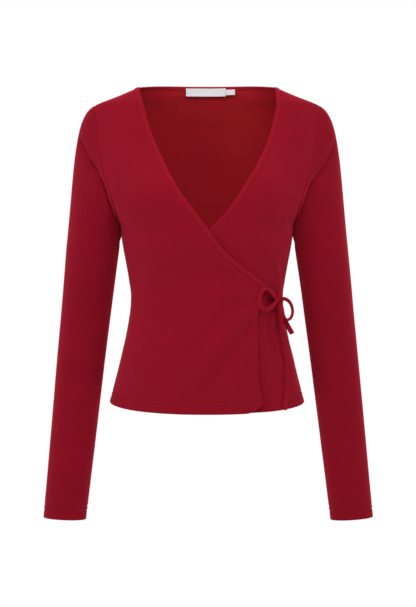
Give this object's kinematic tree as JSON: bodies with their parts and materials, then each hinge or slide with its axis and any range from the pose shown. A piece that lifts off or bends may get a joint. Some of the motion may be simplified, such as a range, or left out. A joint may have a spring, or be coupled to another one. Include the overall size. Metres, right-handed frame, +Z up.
{
  "type": "wrap top",
  "caption": "Hollow long-sleeved wrap top in jersey with a V neck and a side bow, filled out as if worn, open at neck, hem and cuffs.",
  "frame": {"origin": "in the middle of the neck opening, level with the high points of the shoulders, where a wearer's neck holds the garment", "axes": "+Z up, the front of the garment faces -Y, +X is the wearer's left"},
  "size_m": [0.505, 0.2209, 0.6717],
  "materials": {
    "red_jersey": "matte fine-gauge jersey with a soft sheen",
    "red_binding": "the same jersey, folded as a flat band",
    "red_rouleau": "the same jersey, sewn as a narrow soft tie",
    "white_tag": "blank woven satin tape"
  },
  "bodies": {
    "root": {"back": "red_jersey", "right_front": "red_jersey", "left_front": "red_jersey", "right_sleeve": "red_jersey", "left_sleeve": "red_jersey", "neck_binding": "red_binding", "front_strap": "red_rouleau", "side_strap": "red_rouleau", "loop_front": "red_rouleau", "loop_side": "red_rouleau", "tail_long": "red_rouleau", "tail_short": "red_rouleau", "bow_knot": "red_rouleau", "neck_label": "white_tag", "size_tab": "white_tag"}
  },
  "joints": []
}
